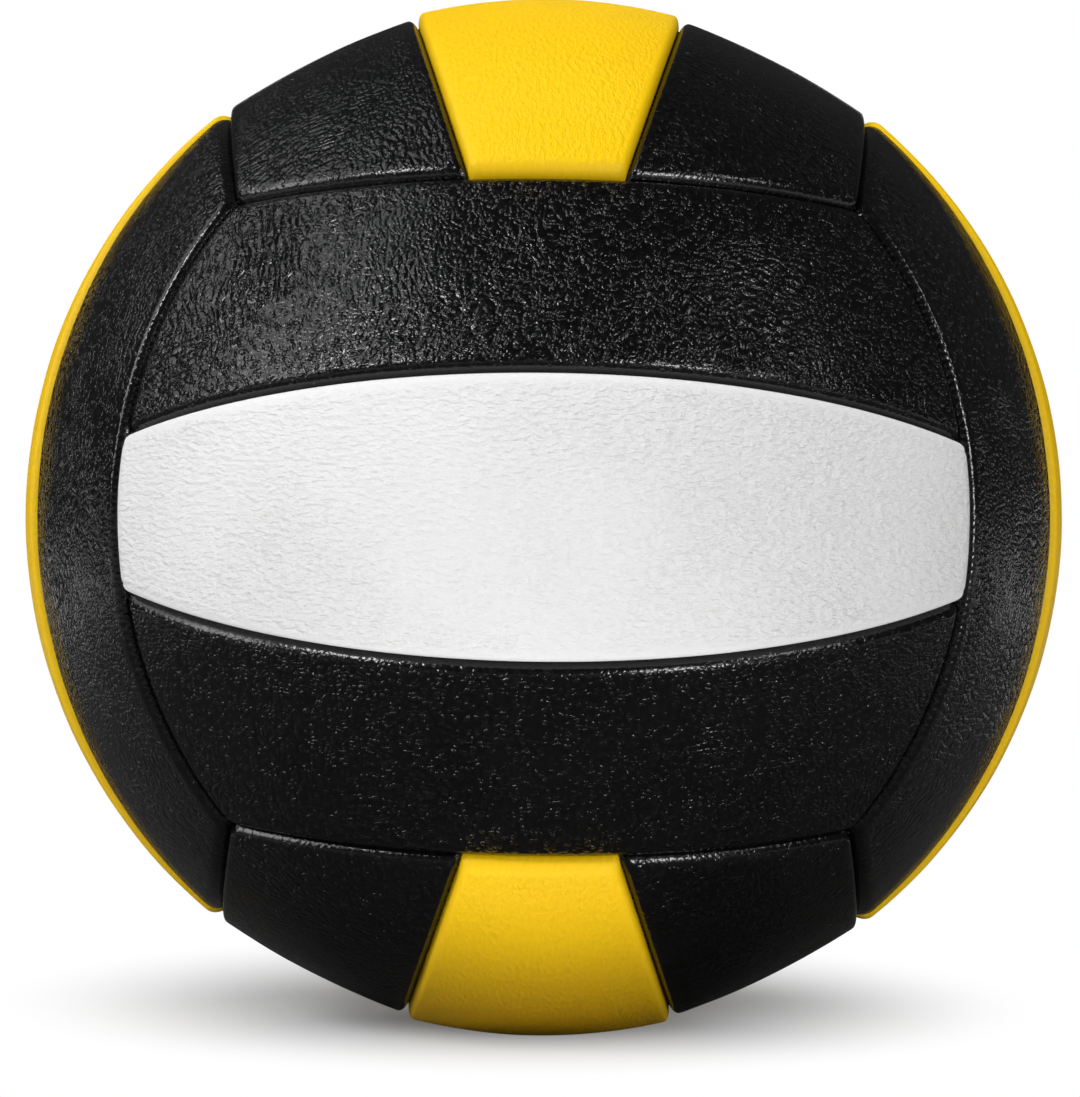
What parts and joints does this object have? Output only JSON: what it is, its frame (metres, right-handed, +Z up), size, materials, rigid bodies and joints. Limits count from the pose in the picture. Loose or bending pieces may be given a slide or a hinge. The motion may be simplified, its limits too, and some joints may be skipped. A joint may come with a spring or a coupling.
{
  "type": "weighted volleyball",
  "caption": "Round practice ball with a stitched cover of padded strips, three side by side on each face, over a weighting layer, a bladder and a needle valve.",
  "frame": {"origin": "centre of the ball", "axes": "+Z up as the ball rests in the picture, -Y towards the camera and out of the white front strip, +X to the right; the valve is at the back and looks along +Y"},
  "size_m": [0.21, 0.2097, 0.2095],
  "materials": {
    "black_leather": "pebbled synthetic leather, soft sheen",
    "white_leather": "fine-grained synthetic leather, satin",
    "yellow_leather": "fine-grained synthetic leather, satin",
    "foam": "closed-cell foam backing, matte",
    "thread": "waxed sewing thread",
    "lining_cloth": "plain woven lining cloth",
    "weighted_rubber": "dense filled rubber, dull",
    "butyl": "moulded butyl, smooth",
    "valve_rubber": "moulded rubber, matte"
  },
  "bodies": {
    "root": {"front_lower_skin": "black_leather", "front_lower_foam": "foam", "front_middle_skin": "white_leather", "front_middle_foam": "foam", "front_upper_skin": "black_leather", "front_upper_foam": "foam", "back_lower_skin": "black_leather", "back_lower_foam": "foam", "back_middle_skin": "white_leather", "back_middle_foam": "foam", "back_upper_skin": "black_leather", "back_upper_foam": "foam", "right_back_skin": "black_leather", "right_back_foam": "foam", "right_middle_skin": "yellow_leather", "right_middle_foam": "foam", "right_front_skin": "black_leather", "right_front_foam": "foam", "left_front_skin": "black_leather", "left_front_foam": "foam", "left_middle_skin": "yellow_leather", "left_middle_foam": "foam", "left_back_skin": "black_leather", "left_back_foam": "foam", "top_right_skin": "black_leather", "top_right_foam": "foam", "top_middle_skin": "yellow_leather", "top_middle_foam": "foam", "top_left_skin": "black_leather", "top_left_foam": "foam", "bottom_left_skin": "black_leather", "bottom_left_foam": "foam", "bottom_middle_skin": "yellow_leather", "bottom_middle_foam": "foam", "bottom_right_skin": "black_leather", "bottom_right_foam": "foam", "seam_stitching": "thread", "cloth_lining": "lining_cloth", "weight_layer": "weighted_rubber", "bladder": "butyl", "valve": "valve_rubber"}
  },
  "joints": []
}
